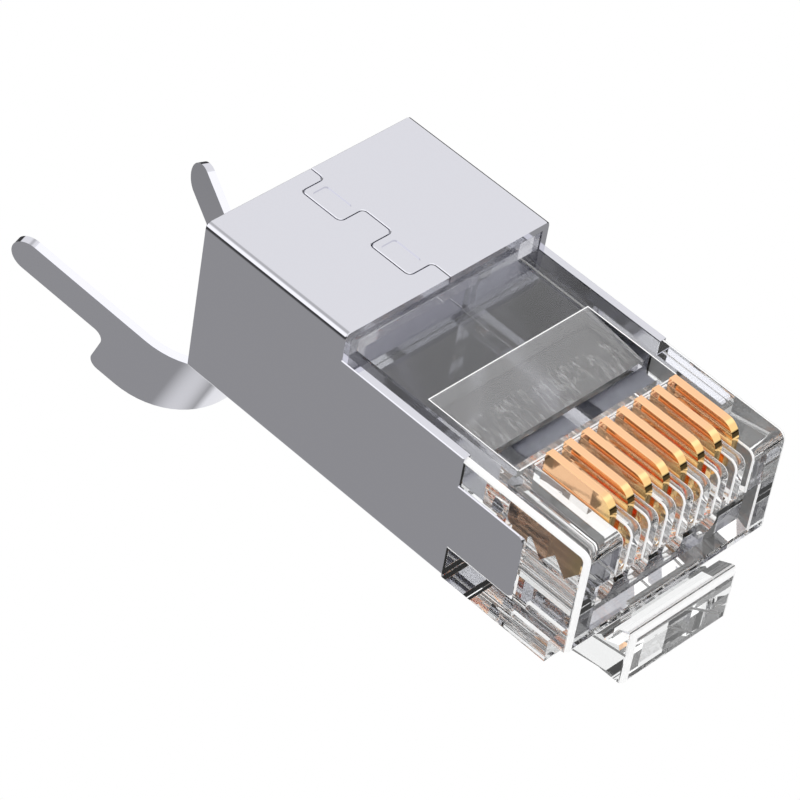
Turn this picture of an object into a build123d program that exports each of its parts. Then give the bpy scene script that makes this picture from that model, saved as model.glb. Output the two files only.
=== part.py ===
from build123d import *
from math import cos, radians, sin, tan
import os

os.makedirs("parts", exist_ok=True)

# An eight-way modular plug for shielded twisted pair, contacts up and latch down.
# Millimetres. X runs across the plug, Y from the nose's front face back to the cable, and
# Z up from the flat underside. The origin is the middle of the nose's lower front line.

# Clear moulded body
nose_width = 11.68
nose_length = 6.80
body_height = 6.60
nose_edge_radius = 0.22
nose_brow_radius = 0.45
moulded_edge_radius = 0.07
lip_length = 1.00
lip_height = 1.20
body_length = 16.40
body_wall = 0.85
cavity_floor_thickness = 0.82
cavity_ceiling_thickness = 0.85
cavity_front = 5.90
collar_gap_behind_hood_edge = 0.05
mouth_recess_depth = 0.60
mouth_recess_width = 9.40
mouth_recess_low = 1.95
mouth_recess_high = 4.40
mouth_recess_slope = 0.25
pocket_depth = 0.84
pocket_front = 0.62
anchor_width = 9.14
anchor_window_front = 5.12
anchor_front = 6.75
anchor_back = 10.05
anchor_front_depth = 0.50

# Contacts and the wires under them
contact_count = 8
contact_pitch = 1.016
contact_thickness = 0.40
contact_front = 0.92
contact_length = 3.62
contact_top = 7.50
contact_nose_radius = 0.75
contact_tail_radius = 0.35
contact_shoulder_length = 0.32
contact_shoulder_top = 6.00
tine_count = 3
tine_height = 0.80
wire_bore = 1.20
upper_wire_height = 3.95
lower_wire_height = 2.95
crimped_contact_top = 6.02

# Folded sheet shield
sheet = 0.40
sheet_edge_break = 0.04
shield_width = 11.76
shield_height = 8.00
shield_wall_height = 6.62
shield_back = 21.95
hood_length = 8.23
fold_radius = 0.30
inner_fold_radius = 0.06
tongue_front = 3.19
tongue_low = 1.75
tongue_high = 5.10
tongue_corner_radius = 0.28
notch_radius = 0.35
seam_width = 0.05
seam_edge_break = 0.03
seam_tab_reach = 1.32
seam_tab_length = 2.32
seam_tab_spacing = 4.05
seam_tab_count = 2
seam_rear_land = 0.82
seam_corner_radius = 0.25
dimple_length = 1.57
dimple_width = 0.85
dimple_depth = 0.05
dimple_corner_radius = 0.15

# Crimp tail that closes round the cable
tail_fold_angle = 22.8
neck_length = 4.50
neck_width = 2.40
neck_bend_radius = 0.35
barrel_bore = 7.64
barrel_offset = 0.12
band_width = 4.00
arm_flare_angle = 16.5
arm_reach = 9.65
finger_width = 1.76
finger_start = 4.35
finger_notch_radius = 0.55

# Latch
latch_width = 6.20
latch_tongue_width = 3.25
latch_plate_front = -1.06
latch_plate_thickness = 1.00
latch_plate_top = 1.54
latch_plate_bottom = -1.48
latch_plate_slope = 0.50
latch_angle = 12.0
latch_thickness = 1.15
latch_reach = 14.20
shoulder_distance = 8.10
root_width = 4.00
root_thickness = 0.50
root_setback = 0.05
root_drop = 0.75
latch_corner_radius = 0.25
latch_tip_radius = 0.65

# Clearances
seat_gap = 0.03
slot_gap = 0.02
hinge_gap = 0.03
crimp_gap = 0.05
tine_gap = 0.08
tongue_clearance = 0.11
overshoot = 1.0

# Places that follow from the sizes above
inner_width = shield_width - 2 * sheet
inner_height = shield_height - 2 * sheet
core_width = inner_width - 2 * seat_gap
core_bottom = sheet + seat_gap
hood_front = shield_back - hood_length
collar_front = hood_front + collar_gap_behind_hood_edge
collar_top = shield_height - sheet - seat_gap
cavity_width = core_width - 2 * body_wall
cavity_bottom = core_bottom + cavity_floor_thickness
cavity_top = body_height - cavity_ceiling_thickness
slot_width = contact_thickness + 2 * slot_gap
slot_front = contact_front - slot_gap
contact_back = contact_front + contact_length
slot_back = contact_back + contact_shoulder_length + slot_gap
contact_travel = contact_top - crimped_contact_top
pivot_y = root_setback + root_thickness / 2
pivot_z = lip_height - root_drop


def contact_x(number):
    # Number 1 is at +X, the left-hand contact as the cable's side sees it
    return ((contact_count + 1) / 2 - number) * contact_pitch


def wire_height(number):
    # The wires lie in two staggered rows, even numbers in the lower one
    return lower_wire_height if number % 2 == 0 else upper_wire_height


def tine_tip(number):
    return wire_height(number) + wire_bore / 2 + tine_gap


# Body: one clear moulding. The nose enters the jack, the core slides into the shield, and a
# collar at the back stands up behind the hood's front edge.
with BuildPart() as plug_body:
    with BuildSketch(Plane.YZ):
        with BuildLine():
            Polyline(
                (lip_length, 0),
                (nose_length, 0),
                (nose_length, body_height),
                (0, body_height),
                (0, lip_height),
                (lip_length, lip_height),
                close=True,
            )
        profile = make_face()
        brow = profile.vertices().group_by(Axis.Y)[-1].sort_by(Axis.X)[0]
        fillet(brow, radius=nose_brow_radius)
    extrude(amount=nose_width / 2, both=True)
    front_face = plug_body.faces().sort_by(Axis.Y)[0]
    top_face = plug_body.faces().sort_by(Axis.Z)[-1]
    brow_face = plug_body.faces().filter_by(GeomType.CYLINDER)[0]
    outline = front_face.edges() + top_face.edges() + brow_face.edges()
    side_edges = outline.filter_by(Axis.X, reverse=True)
    lower_edge = front_face.edges().sort_by(Axis.Z)[0]
    fillet(side_edges + [lower_edge], radius=nose_edge_radius)

    with BuildSketch(Plane.XZ.offset(-nose_length)):
        with Locations((0, (core_bottom + body_height) / 2)):
            Rectangle(core_width, body_height - core_bottom)
    extrude(amount=-(body_length - nose_length))
    with BuildSketch(Plane.XZ.offset(-collar_front)):
        with Locations((0, (core_bottom + collar_top) / 2)):
            Rectangle(core_width, collar_top - core_bottom)
    extrude(amount=-(body_length - collar_front))
    core_edges = plug_body.edges().filter_by(Axis.Y).filter_by(lambda edge: edge.center().Y > nose_length)
    long_edges = core_edges.group_by(Axis.X)[0] + core_edges.group_by(Axis.X)[-1]
    fillet(long_edges.group_by(Axis.Z)[0] + long_edges.group_by(Axis.Z)[-1], radius=inner_fold_radius)

    # Cavity for the untwisted wires, open to the cable
    with BuildSketch(Plane.XZ.offset(-cavity_front)):
        with Locations((0, (cavity_bottom + cavity_top) / 2)):
            Rectangle(cavity_width, cavity_top - cavity_bottom)
    extrude(amount=-body_length, mode=Mode.SUBTRACT)
    with BuildSketch(Plane.XZ.offset(-collar_front - body_wall)):
        with Locations((0, (cavity_bottom + collar_top - body_wall) / 2)):
            Rectangle(cavity_width, collar_top - body_wall - cavity_bottom)
    extrude(amount=-body_length, mode=Mode.SUBTRACT)

    # Recess across the nose's mouth, under the ribs
    with BuildSketch(Plane.YZ):
        with BuildLine():
            Polyline(
                (-overshoot, mouth_recess_low - mouth_recess_slope),
                (0, mouth_recess_low - mouth_recess_slope),
                (mouth_recess_depth, mouth_recess_low),
                (mouth_recess_depth, mouth_recess_high - mouth_recess_slope),
                (0, mouth_recess_high),
                (-overshoot, mouth_recess_high),
                close=True,
            )
        make_face()
    extrude(amount=mouth_recess_width / 2, both=True, mode=Mode.SUBTRACT)

    # A slot for each contact, open at the top and front
    for number in range(1, contact_count + 1):
        slot_floor = tine_tip(number) - contact_travel - crimp_gap
        with BuildSketch(Plane.YZ.offset(contact_x(number))):
            with BuildLine():
                Polyline(
                    (-overshoot, mouth_recess_high),
                    (slot_front, mouth_recess_high),
                    (slot_front, slot_floor),
                    (slot_back, slot_floor),
                    (slot_back, contact_top),
                    (-overshoot, contact_top),
                    close=True,
                )
            make_face()
        extrude(amount=slot_width / 2, both=True, mode=Mode.SUBTRACT)

    # Small radius round the slots' open edges, along the ribs and over their fronts
    slots_reach = contact_x(1) + slot_width / 2 + slot_gap
    slot_edges = plug_body.edges().filter_by(
        lambda edge: abs(edge.center().X) < slots_reach and edge.center().Y < nose_length
    )
    rims = slot_edges.filter_by(lambda edge: edge.center().Z > mouth_recess_high + moulded_edge_radius)
    long_rims = rims.group_by(Axis.Z)[-1].filter_by(lambda edge: edge.center().Y > contact_front)
    front_rims = rims.filter_by(Axis.X, reverse=True).filter_by(lambda edge: edge.center().Y < slot_front / 2)
    fillet(long_rims + front_rims, radius=moulded_edge_radius)

    # A through bore for each wire, into the cavity
    with BuildSketch(Plane.XZ.offset(-mouth_recess_depth / 2)):
        for number in range(1, contact_count + 1):
            with Locations((contact_x(number), wire_height(number))):
                Circle(wire_bore / 2)
    extrude(amount=-cavity_front, mode=Mode.SUBTRACT)

    # Crimp anchor in the roof: a ramp that is pressed down on the wires, free at its front,
    # where a window opens into the cavity
    with BuildSketch(Plane.YZ):
        with BuildLine():
            Polyline(
                (anchor_window_front, body_height),
                (anchor_window_front, cavity_top - moulded_edge_radius),
                (anchor_front, cavity_top - moulded_edge_radius),
                (anchor_front, body_height - anchor_front_depth),
                (anchor_back, body_height),
                close=True,
            )
        make_face()
    extrude(amount=anchor_width / 2, both=True, mode=Mode.SUBTRACT)
    anchor_rims = plug_body.edges(Select.LAST).filter_by(Axis.X).group_by(Axis.Z)[-1]
    chamfer(anchor_rims.sort_by(Axis.Y)[0], length=moulded_edge_radius)

    # Each side of the nose: a seat for the shield's tongue and a deeper pocket ahead of it
    with BuildSketch(Plane.YZ.offset(core_width / 2)):
        seat_height = tongue_high - tongue_low + 2 * seat_gap
        seat_length = nose_length - tongue_front + seat_gap
        with Locations((nose_length - seat_length / 2, (tongue_high + tongue_low) / 2)):
            Rectangle(seat_length, seat_height)
    side_seat = extrude(amount=nose_width, mode=Mode.SUBTRACT)
    mirror(side_seat, about=Plane.YZ, mode=Mode.SUBTRACT)
    with BuildSketch(Plane.YZ.offset(nose_width / 2 - pocket_depth)):
        pocket_length = tongue_front - pocket_front
        with Locations((pocket_front + pocket_length / 2, (tongue_high + tongue_low) / 2)):
            Rectangle(pocket_length, tongue_high - tongue_low)
    side_pocket = extrude(amount=nose_width, mode=Mode.SUBTRACT)
    mirror(side_pocket, about=Plane.YZ, mode=Mode.SUBTRACT)
    nose_walls = plug_body.faces().filter_by(Axis.X).filter_by(lambda face: face.center().Y < nose_length)
    sides = nose_walls.group_by(Axis.X)
    side_edges = sides[0].edges() + sides[-1].edges()
    pocket_rims = side_edges.filter_by(
        lambda edge: pocket_front - seat_gap < edge.center().Y < tongue_front
        and tongue_low - seat_gap / 2 < edge.center().Z < tongue_high + seat_gap / 2
    )
    chamfer(pocket_rims, length=moulded_edge_radius)
    mouth_rims = plug_body.faces().group_by(Axis.Y)[0].edges().filter_by(
        lambda edge: abs(edge.center().X) < mouth_recess_width / 2 + seat_gap
        and mouth_recess_low - mouth_recess_slope - seat_gap < edge.center().Z < mouth_recess_high - seat_gap
    )
    chamfer(mouth_rims, length=moulded_edge_radius)

    # Root that carries the latch, ending in a round bead under the nose's lip
    with BuildSketch(Plane.YZ):
        with Locations((pivot_y, pivot_z)):
            Circle(root_thickness / 2)
        with Locations((pivot_y, pivot_z + root_drop / 2 + nose_edge_radius / 2)):
            Rectangle(root_thickness, root_drop + nose_edge_radius)
    extrude(amount=root_width / 2, both=True)
plug_body.part.label = "plug_body"
export_step(plug_body.part, "parts/plug_body.step")

# Latch: moulded with the body in the real plug, a front plate that hangs from the root and a
# sprung tongue under the body, wide up to the two shoulders that the jack catches.
slope = tan(radians(latch_angle))
plate_back = latch_plate_front + latch_plate_thickness
cradle_radius = root_thickness / 2 + hinge_gap
tongue_top_y = pivot_y + root_thickness + tongue_clearance
tongue_top_z = pivot_z - root_thickness - tongue_clearance
latch_end = latch_plate_front + latch_reach
end_top = tongue_top_z - (latch_end - tongue_top_y) * slope
end_bottom = end_top - latch_thickness
with BuildPart() as latch_tab:
    with BuildSketch(Plane.YZ):
        with BuildLine():
            Polyline(
                (latch_plate_front, latch_plate_bottom),
                (plate_back, latch_plate_bottom),
                (latch_end, end_bottom),
                (latch_end, end_top),
                (tongue_top_y, tongue_top_z),
                (pivot_y, pivot_z),
                (plate_back, pivot_z),
                (plate_back, latch_plate_top - latch_plate_slope),
                (latch_plate_front, latch_plate_top),
                close=True,
            )
        make_face()
        with Locations((pivot_y, pivot_z)):
            Circle(cradle_radius, mode=Mode.SUBTRACT)
    extrude(amount=latch_width / 2, both=True)
    front_face = latch_tab.faces().sort_by(Axis.Y)[0]
    fillet(front_face.edges(), radius=latch_corner_radius)
    flanks = latch_tab.faces().filter_by(Axis.X)
    flank_edges = flanks.sort_by(Axis.X)[0].edges() + flanks.sort_by(Axis.X)[-1].edges()
    long_edges = flank_edges.filter_by(lambda edge: edge.length > latch_plate_thickness)
    chamfer(long_edges.filter_by(Axis.Z, reverse=True), length=moulded_edge_radius)
    with BuildSketch(Plane.XY):
        side_width = (latch_width - latch_tongue_width) / 2
        side_length = latch_end - shoulder_distance
        side_middle = shoulder_distance + side_length / 2
        for side in (-1, 1):
            with Locations((side * (latch_tongue_width + side_width) / 2, side_middle)):
                Rectangle(side_width, side_length)
    extrude(amount=latch_reach, both=True, mode=Mode.SUBTRACT)
    end_edges = latch_tab.faces().sort_by(Axis.Y)[-1].edges().filter_by(Axis.Z)
    fillet(end_edges, radius=latch_tip_radius)
latch_tab.part.label = "latch_tab"
export_step(latch_tab.part, "parts/latch_tab.step")

# Contacts: flat blades with a rounded front corner, where the jack's springs bear, and
# pointed tines below, which pierce the wires when the blade is pressed home.
for number in range(1, contact_count + 1):
    tip = tine_tip(number)
    foot_back = contact_back + contact_shoulder_length
    tine_pitch = (foot_back - contact_front) / tine_count
    with BuildPart() as contact:
        with BuildSketch(Plane.YZ.offset(contact_x(number))):
            with BuildLine():
                teeth = [(contact_front, tip + tine_height)]
                for tine in range(tine_count):
                    start = contact_front + tine * tine_pitch
                    teeth.append((start + tine_pitch / 2, tip))
                    teeth.append((start + tine_pitch, tip + tine_height))
                Polyline(
                    *teeth,
                    (foot_back, contact_shoulder_top),
                    (contact_back, contact_shoulder_top),
                    (contact_back, contact_top),
                    (contact_front, contact_top),
                    close=True,
                )
            blade = make_face()
            top_corners = blade.vertices().group_by(Axis.Y)[-1].sort_by(Axis.X)
            fillet(top_corners[0], radius=contact_nose_radius)
            fillet(top_corners[1], radius=contact_tail_radius)
        extrude(amount=contact_thickness / 2, both=True)
    contact.part.label = f"contact_{number}"
    export_step(contact.part, f"parts/contact_{number}.step")

# Shield: one plated sheet folded into a channel and a hood, which closes on top in two
# interlocking tabs. The tail is part of the same sheet.
tail_origin = Vector(0, shield_back, sheet / 2)
tail_angle = radians(tail_fold_angle)
rearward = Vector(0, cos(tail_angle), sin(tail_angle))
upward = Vector(0, -sin(tail_angle), cos(tail_angle))
barrel_origin = tail_origin + Vector(barrel_offset, 0, 0)
tail_plan = Plane(origin=barrel_origin, x_dir=Vector(1, 0, 0), z_dir=upward)
band_radius = barrel_bore / 2 + sheet / 2
band_middle = -neck_length - band_width / 2
flare = radians(arm_flare_angle)
arm_start = Vector(band_radius * cos(flare), band_radius * (1 - sin(flare)))
wide_length = (finger_start - arm_start.Y) / cos(flare)
finger_length = (arm_reach - arm_start.Y) / cos(flare) - finger_width / 2

with BuildPart() as shield:
    with BuildSketch(Plane.XZ.offset(-tongue_front)):
        with Locations((0, shield_height / 2)):
            RectangleRounded(shield_width, shield_height, fold_radius)
            RectangleRounded(inner_width, inner_height, inner_fold_radius, mode=Mode.SUBTRACT)
    extrude(amount=-(shield_back - tongue_front))
    with BuildSketch(Plane.YZ):
        with BuildLine():
            Polyline(
                (tongue_front, tongue_low),
                (nose_length, tongue_low),
                (nose_length, 0),
                (shield_back, 0),
                (shield_back, shield_height),
                (hood_front, shield_height),
                (hood_front, shield_wall_height),
                (nose_length, shield_wall_height),
                (nose_length, tongue_high),
                (tongue_front, tongue_high),
                close=True,
            )
        blank = make_face()
        tongue_corners = blank.vertices().group_by(Axis.X)[0]
        notch_corners = blank.vertices().group_by(Axis.X)[1].sort_by(Axis.Y)[1:3]
        hood_corner = blank.vertices().group_by(Axis.X)[2].sort_by(Axis.Y)[0]
        fillet(tongue_corners, radius=tongue_corner_radius)
        fillet([*notch_corners, hood_corner], radius=notch_radius)
    extrude(amount=shield_width, both=True, mode=Mode.INTERSECT)

    # Cut edges of the side walls and of the hood's mouth are broken on the outside
    walls = shield.faces().filter_by(Axis.X).group_by(Axis.X)
    wall_edges = walls[0].edges() + walls[-1].edges()
    wall_rims = wall_edges.filter_by(
        lambda edge: fold_radius + seat_gap < edge.center().Z < shield_height - fold_radius - seat_gap
    )
    chamfer(wall_rims, length=sheet_edge_break)

    # Interlocking seam along the hood
    tab_back = shield_back - seam_rear_land
    seam_points = [(0, shield_back + overshoot)]
    for tab in range(seam_tab_count):
        back = tab_back - tab * seam_tab_spacing
        front = back - seam_tab_length
        seam_points += [(0, back), (-seam_tab_reach, back), (-seam_tab_reach, front), (0, front)]
    seam_points.append((0, hood_front - overshoot))
    with BuildSketch(Plane.XY.offset(shield_height)):
        with BuildLine():
            FilletPolyline(*seam_points, radius=seam_corner_radius)
        trace(line_width=seam_width)
    extrude(amount=sheet + seat_gap, both=True, mode=Mode.SUBTRACT)
    seam_rims = shield.edges(Select.LAST).group_by(Axis.Z)[-1].filter_by(
        lambda edge: hood_front + seam_width < edge.center().Y < shield_back - seam_width
    )
    chamfer(seam_rims, length=seam_edge_break)
    with BuildSketch(Plane.XY.offset(shield_height - dimple_depth)):
        for tab in range(seam_tab_count):
            middle = tab_back - tab * seam_tab_spacing - seam_tab_length / 2
            with Locations((-seam_tab_reach / 2, middle)):
                RectangleRounded(dimple_width, dimple_length, dimple_corner_radius)
    extrude(amount=sheet, mode=Mode.SUBTRACT)
shield_shell = shield.part

# Crimp tail: half a barrel with two flared arms, each cut to a finger. The left finger is the
# upper half of the band and the right one the lower half, so they pass when they close.
with BuildPart() as tail:
    with BuildSketch(tail_plan.offset(-neck_length)):
        with BuildLine():
            ThreePointArc((-arm_start.X, arm_start.Y), (0, 0), (arm_start.X, arm_start.Y))
        trace(line_width=sheet)
    extrude(amount=-band_width)
    for side in (-1, 1):
        along = Vector(side * sin(flare), 0, 0) + rearward * cos(flare)
        start = barrel_origin + Vector(side * arm_start.X, 0, 0) + rearward * arm_start.Y
        arm_plane = Plane(origin=start + upward * band_middle, x_dir=along, z_dir=along.cross(upward))
        finger_shift = -side * (band_width - finger_width) / 2
        with BuildSketch(arm_plane) as arm:
            with Locations((wide_length / 2, 0)):
                Rectangle(wide_length, band_width)
            with Locations((finger_length / 2, finger_shift)):
                Rectangle(finger_length, finger_width)
            step_corners = arm.vertices().group_by(Axis.X)[1]
            fillet(step_corners, radius=finger_notch_radius)
            with Locations((finger_length, finger_shift)):
                Circle(finger_width / 2)
        extrude(amount=sheet / 2, both=True)

with BuildPart() as whole_shield:
    add(shield_shell)
    add(tail.part)
    with BuildSketch(Plane.YZ):
        with BuildLine():
            neck_end = tail_origin - upward * (neck_length + sheet / 4)
            FilletPolyline(
                (shield_back - sheet, sheet / 2),
                (shield_back, sheet / 2),
                (neck_end.Y, neck_end.Z),
                radius=neck_bend_radius,
            )
        trace(line_width=sheet)
    extrude(amount=neck_width / 2, both=True)
whole_shield.part.label = "shield"
export_step(whole_shield.part, "parts/shield.step")
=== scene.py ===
import bmesh
import bpy
from math import cos, radians, sin
from mathutils import Matrix, Vector


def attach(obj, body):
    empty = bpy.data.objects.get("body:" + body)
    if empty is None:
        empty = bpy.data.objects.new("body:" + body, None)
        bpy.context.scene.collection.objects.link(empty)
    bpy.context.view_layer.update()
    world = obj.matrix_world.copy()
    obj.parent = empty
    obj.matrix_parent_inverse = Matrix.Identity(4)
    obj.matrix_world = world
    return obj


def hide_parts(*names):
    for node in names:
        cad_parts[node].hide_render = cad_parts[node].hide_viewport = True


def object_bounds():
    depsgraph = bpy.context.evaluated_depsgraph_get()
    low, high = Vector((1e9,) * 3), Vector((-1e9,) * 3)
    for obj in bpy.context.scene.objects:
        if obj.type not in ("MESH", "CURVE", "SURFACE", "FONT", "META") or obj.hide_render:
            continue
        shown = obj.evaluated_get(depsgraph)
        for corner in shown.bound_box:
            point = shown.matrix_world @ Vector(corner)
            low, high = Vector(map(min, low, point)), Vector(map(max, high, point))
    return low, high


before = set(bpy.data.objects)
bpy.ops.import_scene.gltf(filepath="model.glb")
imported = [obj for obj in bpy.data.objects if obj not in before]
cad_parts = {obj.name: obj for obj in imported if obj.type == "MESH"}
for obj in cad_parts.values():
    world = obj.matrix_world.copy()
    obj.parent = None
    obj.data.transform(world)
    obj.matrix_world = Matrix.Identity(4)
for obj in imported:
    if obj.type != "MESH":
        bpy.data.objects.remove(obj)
cad_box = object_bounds()

# Body and latch: one injection moulding of clear polycarbonate. The body has the slots and wire
# bores of the eight contacts and a crimp anchor pressed into its roof, and slides into the shield.
# The sprung latch hangs from a thin web under the nose. Faces are polished; the edges are painted
# white with a faint glow of their own, a painted highlight.
mm = 0.001
clear_colour = (0.985, 0.99, 0.99)
white = (1.0, 1.0, 1.0)
clear_ior = 1.585
flow_scale = 900.0
flow_roughness = 0.012

nose_half_width = 5.84
roof_height = 6.6
contact_count = 8
contact_pitch = 1.016
slot_back = 4.88
slot_half_width = 0.28
anchor_half_width = 4.57
anchor_rim_front = 5.05
anchor_window_front = 5.12
ramp_front = 6.75
ramp_back = 10.05
ramp_tilt = (0.9, 0.999)
ramp_clearness = 0.84
ramp_coat_roughness = 0.3
ramp_coat_ior = 2.6
matt_part = (8.4, 10.2)
matt_roughness = 0.14
scuffed_part = (6.0, 8.4)
scuff_limits = (0.5, 0.75)
ripple_scale = 5200.0
ripple_turn = radians(20)
ripple_stretch = (1.0, 0.3, 1.0)
ripple_strength = 0.3
ripple_depth = 0.02 * mm

# Painted highlight on the edges: white, partly clear and faintly glowing
edge_clearness = 0.12
edge_roughness = 0.25
painted_edge_glow = 0.12
least_fillet_bend = radians(3)
least_face_lean = 0.75
bores_half_width = 4.6
bores_top = 5.0
bores_front = 0.1
brow_depth = 0.46
brow_low = 6.1
hinge_half_width = 3.0
rim_width = 0.06
rim_lift = 0.004


def new_material(name):
    material = bpy.data.materials.new(name)
    material.use_nodes = True
    return material, material.node_tree.nodes, material.node_tree.links


def set_inputs(node, values):
    for name, value in values.items():
        node.inputs[name].default_value = value


def computed(nodes, links, operation, *values):
    # A Math node over sockets and plain numbers
    node = nodes.new("ShaderNodeMath")
    node.operation = operation
    for socket, value in zip(node.inputs, values):
        if isinstance(value, bpy.types.NodeSocket):
            links.new(value, socket)
        else:
            socket.default_value = value
    return node.outputs["Value"]


def product_of(nodes, links, first, second):
    return computed(nodes, links, "MULTIPLY", first, second)


def inside_slab(nodes, links, value, low, high):
    # 1 where the value lies between the two limits, and 0 elsewhere
    return computed(nodes, links, "COMPARE", value, (low + high) / 2, (high - low) / 2)


def mapped(nodes, links, value, start, end, before, after, soft=False):
    # From one value to the other as the input passes from the start to the end
    node = nodes.new("ShaderNodeMapRange")
    if soft:
        node.interpolation_type = "SMOOTHSTEP"
    set_inputs(node, {"From Min": start, "From Max": end, "To Min": before, "To Max": after})
    links.new(value, node.inputs["Value"])
    return node.outputs["Result"]


def split_axes(nodes, links, vector):
    node = nodes.new("ShaderNodeSeparateXYZ")
    links.new(vector, node.inputs["Vector"])
    return node.outputs


def place_on_piece(nodes):
    return nodes.new("ShaderNodeTexCoord").outputs["Object"]


def clear_polycarbonate():
    # Polished by the mould, with a trace of flow in its surface
    material, nodes, links = new_material("clear_polycarbonate")
    shader = nodes["Principled BSDF"]
    set_inputs(shader, {
        "Base Color": (*clear_colour, 1.0), "Transmission Weight": 1.0, "IOR": clear_ior,
    })
    flow = nodes.new("ShaderNodeTexNoise")
    set_inputs(flow, {"Scale": flow_scale})
    links.new(place_on_piece(nodes), flow.inputs["Vector"])
    roughness = mapped(nodes, links, flow.outputs["Fac"], 0.0, 1.0, 0.0, flow_roughness)
    links.new(roughness, shader.inputs["Roughness"])
    return material


def pressed_ramp():
    # The anchor's ramp: finely matt at its back, and rippled and scuffed at its front
    material, nodes, links = new_material("pressed_ramp")
    shader = nodes["Principled BSDF"]
    set_inputs(shader, {
        "Base Color": (*white, 1.0), "Transmission Weight": ramp_clearness, "IOR": clear_ior,
        "Coat Roughness": ramp_coat_roughness, "Coat IOR": ramp_coat_ior,
    })
    place = place_on_piece(nodes)
    along = split_axes(nodes, links, place)["Y"]
    matt = inside_slab(nodes, links, along, *(end * mm for end in matt_part))
    scuffed = inside_slab(nodes, links, along, *(end * mm for end in scuffed_part))
    links.new(product_of(nodes, links, matt, matt_roughness), shader.inputs["Roughness"])
    stretch = nodes.new("ShaderNodeMapping")
    set_inputs(stretch, {"Rotation": (0.0, 0.0, ripple_turn), "Scale": ripple_stretch})
    ripples = nodes.new("ShaderNodeTexNoise")
    set_inputs(ripples, {"Scale": ripple_scale, "Detail": 3.0})
    links.new(place, stretch.inputs["Vector"])
    links.new(stretch.outputs["Vector"], ripples.inputs["Vector"])
    scuffs = mapped(nodes, links, ripples.outputs["Fac"], *scuff_limits, 0.0, 1.0)
    links.new(product_of(nodes, links, scuffs, scuffed), shader.inputs["Coat Weight"])
    bump = nodes.new("ShaderNodeBump")
    set_inputs(bump, {"Strength": ripple_strength, "Distance": ripple_depth})
    relief = product_of(nodes, links, ripples.outputs["Fac"], scuffed)
    links.new(relief, bump.inputs["Height"])
    links.new(bump.outputs["Normal"], shader.inputs["Normal"])
    return material


def painted_edge_highlight():
    # Painted highlight: the edges get a white, partly clear finish that glows faintly, in place of
    # the light their rounding catches
    material, nodes, links = new_material("edge_highlight_paint")
    set_inputs(nodes["Principled BSDF"], {
        "Base Color": (*white, 1.0), "Transmission Weight": edge_clearness, "IOR": clear_ior,
        "Roughness": edge_roughness, "Emission Color": (*white, 1.0),
        "Emission Strength": painted_edge_glow,
    })
    return material


def is_edge_break(data, polygon, outside):
    # A face of a fillet, whose corner normals differ, or of a chamfer, which leans in two axes
    if not outside(polygon.center / mm, polygon.normal):
        return False
    bend = min(
        polygon.normal.dot(data.corner_normals[loop].vector) for loop in polygon.loop_indices
    )
    lean = max(abs(part) for part in polygon.normal)
    return bend < cos(least_fillet_bend) or lean < least_face_lean


def on_ramp(spot, normal):
    # The ramp sinks gently from the roof towards the nose
    inside = abs(spot.x) < anchor_half_width and ramp_front < spot.y < ramp_back
    least_tilt, most_tilt = ramp_tilt
    return inside and spot.z < roof_height - 0.01 and least_tilt < normal.z < most_tilt


def flush_sides(data):
    # The nose's sides are flush from the front edges back to the seats of the shield's tongues
    side, seat_floor, seat_front = nose_half_width * mm, 5.45 * mm, 3.16 * mm
    recess_floor, recess_front, recess_back = 4.99 * mm, 0.5 * mm, 3.2 * mm
    recess_low, recess_high = 1.6 * mm, 5.2 * mm
    square_on = 0.99
    mesh = bmesh.new()
    mesh.from_mesh(data)
    chosen = {
        vertex for vertex in mesh.verts
        if abs(vertex.co.x) > recess_floor
        and recess_front < vertex.co.y < recess_back
        and recess_low < vertex.co.z < recess_high
    }
    walls = []
    for face in mesh.faces:
        if all(vertex in chosen for vertex in face.verts):
            ahead = face.calc_center_median().y < seat_front / 2
            front_wall = abs(face.normal.y) > square_on and ahead
            if abs(face.normal.z) > square_on or front_wall:
                walls.append(face)
    bmesh.ops.delete(mesh, geom=walls, context="FACES")
    for vertex in mesh.verts:
        if vertex in chosen:
            vertex.co.y = min(vertex.co.y, seat_front)
            if abs(abs(vertex.co.x) - seat_floor) > 0.01 * mm:
                vertex.co.x = side if vertex.co.x > 0 else -side
    mesh.to_mesh(data)
    mesh.free()


def edged_copy(node, body, materials, outside, shape=None):
    # The node's own form, with its broken edges and its ramp in materials of their own
    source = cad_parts[node]
    data = source.data.copy()
    data.name = f"{node}_finish"
    data.materials.clear()
    for material in materials:
        data.materials.append(material)
    if shape:
        shape(data)
    for polygon in data.polygons:
        # Fillet and chamfer faces take the painted white edge highlight
        polygon.material_index = 1 if is_edge_break(data, polygon, outside) else 0
        if on_ramp(polygon.center / mm, polygon.normal):
            polygon.material_index = 2
    piece = bpy.data.objects.new(f"{node}_finish", data)
    bpy.context.scene.collection.objects.link(piece)
    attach(piece, body)
    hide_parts(node)


def outside_the_bores(spot, normal):
    # The bores' round walls and the brow over the mouth stay clear
    on_brow = spot.y < brow_depth and spot.z > brow_low and abs(normal.x) < 0.02
    clear_of_bores = abs(spot.x) > bores_half_width or spot.y < bores_front or spot.z > bores_top
    return clear_of_bores and not on_brow


def clear_of_the_hinge(spot, normal):
    return spot.y < 0.0 or abs(spot.x) > hinge_half_width


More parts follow.
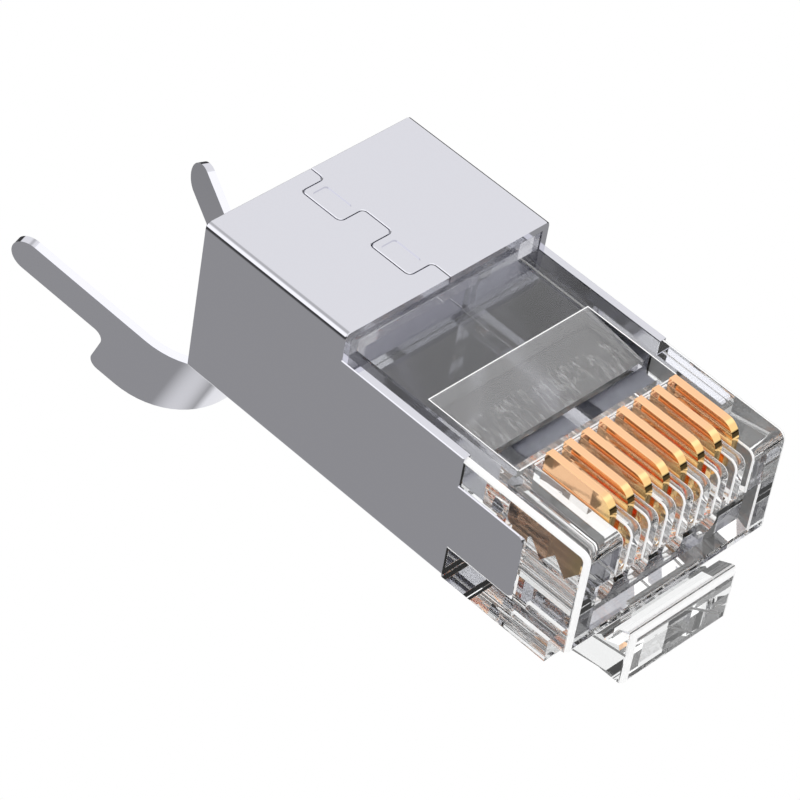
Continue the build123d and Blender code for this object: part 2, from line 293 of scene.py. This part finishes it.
def painted_rim_highlights(edge_material):
    # Painted highlights: flat white strips laid just over the roof along the rims of the anchor's
    # window and ramp, and of the contact slots' back ends
    half, half_rim = anchor_half_width, rim_width / 2
    window_back = ramp_back + half_rim
    strips = [
        (-half - rim_width, -half, anchor_window_front - rim_width, window_back),
        (half, half + rim_width, anchor_window_front - rim_width, window_back),
        (-half, half, ramp_back - half_rim, window_back),
        (-half, half, anchor_rim_front - rim_width, anchor_rim_front),
    ]
    for number in range(contact_count):
        middle = (number - (contact_count - 1) / 2) * contact_pitch
        strips.append((
            middle - slot_half_width, middle + slot_half_width, slot_back, slot_back + rim_width,
        ))
    points, faces = [], []
    for left, right, front, back in strips:
        start = len(points)
        for x, y in ((left, front), (right, front), (right, back), (left, back)):
            points.append((x * mm, y * mm, (roof_height + rim_lift) * mm))
        faces.append(tuple(range(start, start + 4)))
    data = bpy.data.meshes.new("painted_rim_highlights")
    data.from_pydata(points, [], faces)
    data.materials.append(edge_material)
    piece = bpy.data.objects.new("painted_rim_highlights", data)
    bpy.context.scene.collection.objects.link(piece)
    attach(piece, "plug")


clear = clear_polycarbonate()
edge_highlight_paint = painted_edge_highlight()
body_finishes = (clear, edge_highlight_paint, pressed_ramp())
painted_rim_highlights(edge_highlight_paint)
edged_copy("plug_body", "plug", body_finishes, outside_the_bores, flush_sides)
edged_copy("latch_tab", "latch", (clear, edge_highlight_paint), clear_of_the_hinge)


# Contacts: eight blades stamped from copper alloy sheet and plated with gold, pushed into the
# body's slots from above. Their rounded front corner is painted a yellower gold than their top, a
# painted change of tone for how the light falls there.
gold_colour = (1.0, 0.61, 0.35)
front_gold_light_tint = (1.0, 0.68, 0.29)
front_gold_end = 1.1 * mm
gold_blend_end = 1.8 * mm
gold_grain_scale = 14000.0
gold_roughness = (0.03, 0.08)


def rolled_grain_group():
    # Fine stretched noise along Y, the sheet's rolling direction
    group = bpy.data.node_groups.new("rolled_grain", "ShaderNodeTree")
    face = group.interface
    for name, default in (("Scale", 1.0), ("Low", 0.0), ("High", 1.0)):
        socket = face.new_socket(name=name, in_out="INPUT", socket_type="NodeSocketFloat")
        socket.default_value = default
    face.new_socket(name="Grain", in_out="OUTPUT", socket_type="NodeSocketFloat")
    nodes, links = group.nodes, group.links
    inside = nodes.new("NodeGroupInput")
    outside = nodes.new("NodeGroupOutput")
    stretch = nodes.new("ShaderNodeMapping")
    set_inputs(stretch, {"Scale": (1.0, 0.04, 1.0)})
    noise = nodes.new("ShaderNodeTexNoise")
    set_inputs(noise, {"Detail": 3.0})
    spread = nodes.new("ShaderNodeMapRange")
    links.new(place_on_piece(nodes), stretch.inputs["Vector"])
    links.new(stretch.outputs["Vector"], noise.inputs["Vector"])
    links.new(inside.outputs["Scale"], noise.inputs["Scale"])
    links.new(noise.outputs["Fac"], spread.inputs["Value"])
    links.new(inside.outputs["Low"], spread.inputs["To Min"])
    links.new(inside.outputs["High"], spread.inputs["To Max"])
    links.new(spread.outputs["Result"], outside.inputs["Grain"])
    return group


rolled_grain = rolled_grain_group()


def two_tone_metal(name, grain_scale, roughness):
    # A grained metal whose mix of two colours is still to be linked to a mask
    material, nodes, links = new_material(name)
    shader = nodes["Principled BSDF"]
    set_inputs(shader, {"Metallic": 1.0})
    grain = nodes.new("ShaderNodeGroup")
    grain.node_tree = rolled_grain
    set_inputs(grain, {"Scale": grain_scale, "Low": roughness[0], "High": roughness[1]})
    links.new(grain.outputs["Grain"], shader.inputs["Roughness"])
    tint = nodes.new("ShaderNodeMixRGB")
    links.new(tint.outputs["Color"], shader.inputs["Base Color"])
    return material, nodes, links, tint


def gold_plate():
    material, nodes, links, tint = two_tone_metal("gold_plate", gold_grain_scale, gold_roughness)
    # Painted light: a yellower gold on the front corner and a paler one behind it stand for how
    # the light falls on one plating
    set_inputs(tint, {"Color1": (*front_gold_light_tint, 1.0), "Color2": (*gold_colour, 1.0)})
    along = split_axes(nodes, links, place_on_piece(nodes))["Y"]
    links.new(mapped(nodes, links, along, front_gold_end, gold_blend_end, 0.0, 1.0),
              tint.inputs["Fac"])
    return material


def dress(node, material):
    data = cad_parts[node].data
    data.materials.clear()
    data.materials.append(material)


gold = gold_plate()
for number in range(1, contact_count + 1):
    dress(f"contact_{number}", gold)


# Shield: one nickel plated steel sheet, cut and folded round the body into a channel and a hood,
# with the crimp tail in one with it. Its faces keep a fine rolled grain, and its inner side is
# painted darker than its outer one, painted shade inside the channel and hood.
sheet_colour = (0.71, 0.71, 0.765)
inner_sheet_shade_colour = (0.41, 0.41, 0.445)
sheet_grain_scale = 9000.0
sheet_roughness = (0.05, 0.09)
inner_half_width = 5.5 * mm
inner_floor, inner_ceiling = 0.38 * mm, 7.62 * mm


def plated_sheet():
    material, nodes, links, tint = two_tone_metal(
        "plated_sheet", sheet_grain_scale, sheet_roughness)
    set_inputs(tint, {"Color1": (*sheet_colour, 1.0), "Color2": (*inner_sheet_shade_colour, 1.0)})
    axes = split_axes(nodes, links, place_on_piece(nodes))
    # Painted shade: the faces inside the channel and hood take the darker sheet colour
    across = inside_slab(nodes, links, axes["X"], -inner_half_width, inner_half_width)
    upward = inside_slab(nodes, links, axes["Z"], inner_floor, inner_ceiling)
    links.new(product_of(nodes, links, across, upward), tint.inputs["Fac"])
    return material


dress("shield", plated_sheet())


# Studio: the plug hangs well above a plain pale floor, in a white tent that leaves a dark gap at
# the horizon. Two painted pools of light glow on the floor, one straight below and one in line
# with the lens.
floor_drop = 150 * mm
floor_half = 6000 * mm
floor_level = cad_box[0][2] - floor_drop
floor_corners = ((-1, -1), (1, -1), (1, 1), (-1, 1))
floor_mesh = bpy.data.meshes.new("floor")
floor_mesh.from_pydata(
    [(x * floor_half, y * floor_half, floor_level) for x, y in floor_corners],
    [], [(0, 1, 2, 3)])
floor = bpy.data.objects.new("floor", floor_mesh)
bpy.context.scene.collection.objects.link(floor)

card_colour = (0.9, 0.9, 0.9)
floor_grey = 0.36
floor_grey_through_plastic = 0.14
far_floor_share = 0.2
far_floor = (200 * mm, 420 * mm)
lower_pool_centre = (0.0, 0.01, floor_level)
lower_pool = (8 * mm, 75 * mm)
lower_pool_peak = 0.85
lens_pool_centre = (0.846 * floor_drop, 0.673 * floor_drop, floor_level)
lens_pool = (110 * mm, 150 * mm)
lens_pool_edge = (140.5 * mm, 142.5 * mm)


def larger_of(nodes, links, first, second):
    return computed(nodes, links, "MAXIMUM", first, second)


def pool_mask(nodes, links, place, centre, reach, peak=1.0):
    # The peak inside a round patch of the floor and 0 beyond it, with a soft rim
    distance = nodes.new("ShaderNodeVectorMath")
    distance.operation = "DISTANCE"
    distance.inputs[1].default_value = centre
    links.new(place, distance.inputs[0])
    return mapped(nodes, links, distance.outputs["Value"], *reach, peak, 0.0, soft=True)


def floor_card():
    # White to the lens everywhere; to metal and plastic it glows grey, dimmer far off and through
    # the plastic, with painted pools of light
    material, nodes, links = new_material("floor_card")
    card = nodes["Principled BSDF"]
    set_inputs(card, {
        "Base Color": (*card_colour, 1.0), "Roughness": 0.9, "Specular IOR Level": 0.0,
    })
    path = nodes.new("ShaderNodeLightPath").outputs
    place = nodes.new("ShaderNodeNewGeometry").outputs["Position"]
    below = pool_mask(nodes, links, place, lower_pool_centre, lower_pool, lower_pool_peak)
    ahead = pool_mask(nodes, links, place, lens_pool_centre, lens_pool)
    across = split_axes(nodes, links, place)["X"]
    straight_edge = mapped(nodes, links, across, *lens_pool_edge, 1.0, 0.0, soft=True)
    pools = larger_of(nodes, links, below, product_of(nodes, links, ahead, straight_edge))
    lit = larger_of(nodes, links, pools, path["Is Camera Ray"])
    grey = mapped(nodes, links, path["Is Transmission Ray"],
                  0.0, 1.0, floor_grey, floor_grey_through_plastic)
    near = pool_mask(nodes, links, place, lower_pool_centre, far_floor)
    shade = mapped(nodes, links, near, 0.0, 1.0, far_floor_share, 1.0)
    glow = nodes.new("ShaderNodeEmission")
    dim = product_of(nodes, links, grey, shade)
    links.new(larger_of(nodes, links, dim, lit), glow.inputs["Strength"])
    seen = larger_of(nodes, links, path["Is Camera Ray"], path["Is Glossy Ray"])
    seen = larger_of(nodes, links, seen, path["Is Transmission Ray"])
    mix = nodes.new("ShaderNodeMixShader")
    links.new(seen, mix.inputs["Fac"])
    links.new(card.outputs["BSDF"], mix.inputs[1])
    links.new(glow.outputs["Emission"], mix.inputs[2])
    links.new(mix.outputs["Shader"], nodes["Material Output"].inputs["Surface"])
    return material


floor_mesh.materials.append(floor_card())

panel_strength = 1.35
zenith_loss = 0.4
horizon_gap_end = (0.06, 0.22)
zenith_start = (0.75, 0.87)
rear_start = (0.1, 0.35)
front_end = (-0.1, 0.1)
left_end = (-0.6, -0.3)
high_start = (0.6, 0.75)
world = bpy.data.worlds.new("studio")
bpy.context.scene.world = world
world.use_nodes = True
sky = (world.node_tree.nodes, world.node_tree.links)
background = sky[0]["Background"]
set_inputs(background, {"Color": (*white, 1.0)})
direction = split_axes(*sky, sky[0].new("ShaderNodeTexCoord").outputs["Generated"])
mirrored = sky[0].new("ShaderNodeLightPath").outputs["Is Glossy Ray"]


def sky_step(axis, limits, before, after):
    # A soft step in the surround along one axis of the direction
    return mapped(*sky, direction[axis], *limits, before, after, soft=True)


tent = sky_step("Z", horizon_gap_end, 0.0, 1.0)
rearward = sky_step("Y", rear_start, 0.0, 1.0)
zenith = product_of(*sky, sky_step("Z", zenith_start, 0.0, zenith_loss), rearward)
tent = product_of(*sky, tent, computed(*sky, "SUBTRACT", 1.0, zenith))
left_panel = product_of(*sky, sky_step("X", left_end, 1.0, 0.0), rearward)
high_up = sky_step("Z", high_start, 0.0, 1.0)
front_panel = product_of(*sky, sky_step("Y", front_end, 1.0, 0.0), high_up)
panels = larger_of(*sky, left_panel, front_panel)
tent = product_of(*sky, tent, mapped(*sky, panels, 0.0, 1.0, 1.0, panel_strength))
plain_white = computed(*sky, "SUBTRACT", 1.0, mirrored)
sky[1].new(larger_of(*sky, product_of(*sky, tent, mirrored), plain_white),
           background.inputs["Strength"])

# Camera: at the photo's own viewing angle and framing. The view is rolled a little about the line
# of sight, and the target is moved along the picture's own right and up.
view_target = Vector((0.0, 10.0, 4.0)) * mm
view_azimuth = radians(-51.491)
view_elevation = radians(42.799)
view_roll = radians(10.378)
view_distance = 170.27 * mm
view_shift_right = 4.082 * mm
view_shift_up = 0.010 * mm
view_lens = 189.2
sensor_width = 36.0
nearest_seen = 0.01

back = Vector((
    sin(view_azimuth) * cos(view_elevation),
    -cos(view_azimuth) * cos(view_elevation),
    sin(view_elevation),
))
level_right = Vector((0, 0, 1)).cross(back).normalized()
level_up = back.cross(level_right)
right = cos(view_roll) * level_right + sin(view_roll) * level_up
up = -sin(view_roll) * level_right + cos(view_roll) * level_up
camera_data = bpy.data.cameras.new("camera")
camera_data.lens = view_lens
camera_data.sensor_width = sensor_width
camera_data.clip_start = nearest_seen
camera = bpy.data.objects.new("camera", camera_data)
place = view_target - view_shift_right * right - view_shift_up * up + view_distance * back
camera.matrix_world = Matrix.Translation(place) @ Matrix((right, up, back)).transposed().to_4x4()
bpy.context.scene.collection.objects.link(camera)
bpy.context.scene.camera = camera
bpy.context.scene.view_settings.view_transform = "Standard"

# Light passes many walls of the clear moulding before it comes out
cycles = bpy.context.scene.cycles
cycles.max_bounces = 120
cycles.glossy_bounces = 80
cycles.transmission_bounces = 80
